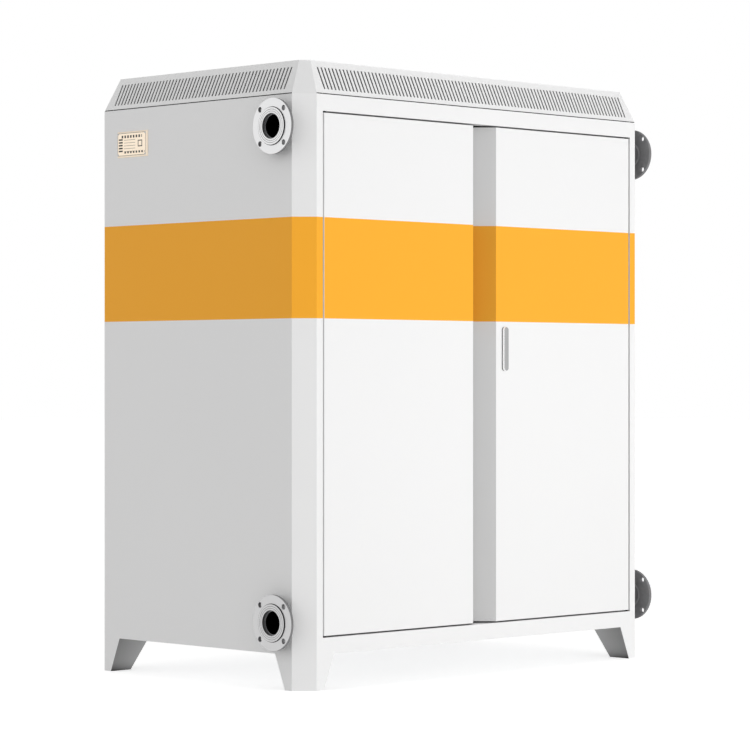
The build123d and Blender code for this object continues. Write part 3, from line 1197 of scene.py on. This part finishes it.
@dataclass
class Studio:
    """A pale floor, an even soft surround, one low softbox and the photograph's camera."""

    floor_half: float = 40.0
    floor_cloud: float = 1.5
    floor_tone: Colour = (0.80, 0.80, 0.80)
    floor_shade: Colour = (0.78, 0.78, 0.78)
    floor_lift: float = 0.57
    horizon_light: float = 0.95
    zenith_light: float = 0.36
    left_share: float = 0.30
    backdrop: float = 1.0
    key_place: tuple[float, float, float] = (0.55, -5.4, 0.60)
    key_aim: tuple[float, float, float] = (0.0, -0.4, 0.9)
    key_width: float = 3.2
    key_height: float = 1.1
    key_power: float = 106.0
    camera_place: tuple[float, float, float] = (-6.516, -6.532, 0.899)
    camera_turn: float = radians(-44.92)
    lens: float = 141.87
    sensor: float = 36.0

    def build(self) -> None:
        """Sets the stage."""
        scene = bpy.context.scene
        scene.view_settings.view_transform = "Standard"
        self.lay_floor()
        self.hang_surround()
        self.place_key()
        self.place_camera()

    def seen_directly(self, graph: Graph) -> Term:
        """One for camera, mirror and transmission rays, which see the plain white surround."""
        path = graph.add("ShaderNodeLightPath", output="Is Camera Ray")
        return path.most(path.output("Is Glossy Ray")).most(path.output("Is Transmission Ray"))

    def lay_floor(self) -> None:
        """A wide pale floor that keeps the object's shadow."""
        half = self.floor_half
        corners = [(-half, -half, 0.0), (half, -half, 0.0), (half, half, 0.0), (-half, half, 0.0)]
        mesh = bpy.data.meshes.new("floor")
        mesh.from_pydata(corners, [], [(0, 1, 2, 3)])
        material = bpy.data.materials.new("floor")
        material.use_nodes = True
        material.node_tree.nodes.clear()
        graph = Graph(material.node_tree)
        place = graph.add("ShaderNodeTexCoord", output="Object")
        tone = graph.tint(graph.noise(place, self.floor_cloud), self.floor_tone, self.floor_shade)
        matt = graph.add("ShaderNodeBsdfDiffuse", inputs={"Color": tone})
        lift = self.seen_directly(graph) * self.floor_lift
        glow = graph.add("ShaderNodeEmission", inputs={"Color": WHITE, "Strength": lift})
        both = graph.add("ShaderNodeAddShader", inputs={0: matt, 1: glow})
        graph.add("ShaderNodeOutputMaterial", inputs={"Surface": both})
        mesh.materials.append(material)
        floor = bpy.data.objects.new("floor", mesh)
        bpy.context.scene.collection.objects.link(floor)

    def hang_surround(self) -> None:
        """White to the eye; its soft light is stronger round the horizon and on the left."""
        world = bpy.data.worlds.new("surround")
        world.use_nodes = True
        world.node_tree.nodes.clear()
        bpy.context.scene.world = world
        graph = Graph(world.node_tree)
        direction = graph.add("ShaderNodeTexCoord", output="Generated")
        x, _, z = graph.split(direction)
        light = self.horizon_light + abs(z) * (self.zenith_light - self.horizon_light)
        light = light * (1 + (x * -1.0).most(0.0) * self.left_share)
        seen = self.seen_directly(graph)
        strength = light + seen * (self.backdrop - light)
        glow = graph.add("ShaderNodeBackground", inputs={"Color": WHITE, "Strength": strength})
        graph.add("ShaderNodeOutputWorld", inputs={"Surface": glow})

    def place_key(self) -> None:
        """One broad low softbox, in front and a little to the right."""
        lamp = bpy.data.lights.new("softbox", "AREA")
        lamp.shape = "RECTANGLE"
        lamp.size = self.key_width
        lamp.size_y = self.key_height
        lamp.energy = self.key_power
        softbox = bpy.data.objects.new("softbox", lamp)
        aim = Vector(self.key_aim) - Vector(self.key_place)
        turn = aim.to_track_quat("-Z", "Y").to_matrix().to_4x4()
        softbox.matrix_world = Matrix.Translation(self.key_place) @ turn
        softbox.visible_glossy = False
        bpy.context.scene.collection.objects.link(softbox)

    def place_camera(self) -> None:
        """A level camera with a long lens, off the front left corner."""
        camera = bpy.data.cameras.new("camera")
        camera.sensor_fit = "HORIZONTAL"
        camera.sensor_width = self.sensor
        camera.lens = self.lens
        viewer = bpy.data.objects.new("camera", camera)
        viewer.location = self.camera_place
        viewer.rotation_euler = Euler((pi / 2, 0.0, self.camera_turn))
        bpy.context.scene.collection.objects.link(viewer)
        bpy.context.scene.camera = viewer


def mix_finishes() -> Palette:
    """Makes the material of each slot, with places taken from the nodes that carry it.

    Returns:
        The materials by slot.
    """
    side_low, side_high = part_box("left_side_panel")
    post_low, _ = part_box("front_left_post")
    _, back_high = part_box("back_panel")
    flange_low, flange_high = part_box("upper_left_flange")
    lower_low, lower_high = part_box("lower_left_flange")
    _, stub_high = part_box("upper_left_stub")
    plate_low, plate_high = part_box("nameplate")
    handle_low, handle_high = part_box("door_handle")
    door_low, door_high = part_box("left_door")
    pin_low, pin_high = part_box("left_door_pins")
    axes = {
        "axis_y": (flange_low.y + flange_high.y) / 2,
        "axis_heights": ((flange_low.z + flange_high.z) / 2, (lower_low.z + lower_high.z) / 2),
    }
    finishes = [
        PowderCoat(
            Slot.PAINT,
            half_width=-side_low.x,
            half_depth=-post_low.y,
            door_low=door_low.z,
            door_high=door_high.z,
            door_reach=-door_low.x,
            leg_height=side_low.z,
            body_height=side_high.z,
            seam_x=back_high.x,
        ),
        GalvanisedSheet(Slot.GALVANISED),
        TurnedFlange(Slot.FLANGE, **axes, face_x=-flange_low.x - TurnedFlange.step),
        PipeSteel(
            Slot.PIPE,
            pale=(0.36, 0.36, 0.37),
            dark=(0.24, 0.24, 0.25),
            grain=0.004,
            stretch=(0.15, 1.0, 1.0),
            sheen=0.44,
            straight_x=-stub_high.x,
            **axes,
        ),
        StreakedMetal(
            Slot.JACKET,
            pale=(0.80, 0.81, 0.82),
            dark=(0.70, 0.71, 0.72),
            grain=0.003,
            stretch=(0.2, 0.2, 1.0),
            sheen=0.34,
        ),
        SatinHandle(
            Slot.HANDLE,
            face_y=handle_low.y,
            foot_y=handle_high.y,
        ),
        PlateEnamel(
            Slot.PLATE,
            face_x=plate_low.x,
            rear_y=plate_high.y,
            top_z=plate_high.z,
            length=plate_high.y - plate_low.y,
            height=plate_high.z - plate_low.z,
        ),
        ShadeBlackCoat(Slot.BAFFLE),
        PinSteel(
            Slot.PIN,
            pale=(0.60, 0.61, 0.63),
            dark=(0.48, 0.49, 0.51),
            grain=0.0008,
            stretch=(1.0, 1.0, 1.0),
            sheen=0.34,
            pivot_x=-(pin_low.x + pin_high.x) / 2,
            pivot_y=(pin_low.y + pin_high.y) / 2,
        ),
    ]
    return {finish.slot: finish.material() for finish in finishes}


def main() -> None:
    """Dresses the boiler and sets its stage."""
    logging.basicConfig(level=logging.INFO, format="%(name)s: %(message)s")
    palette = mix_finishes()
    trees = Trees()
    cabinet = Cabinet(palette, trees)
    cabinet.dress()
    for assembly in (
        cabinet,
        PipeEnds(palette, trees),
        Nameplate(palette, trees),
        Doors(palette, trees),
        HeatingPlant(palette, trees),
        Studio(),
    ):
        assembly.build()


if __name__ == "__main__":
    main()
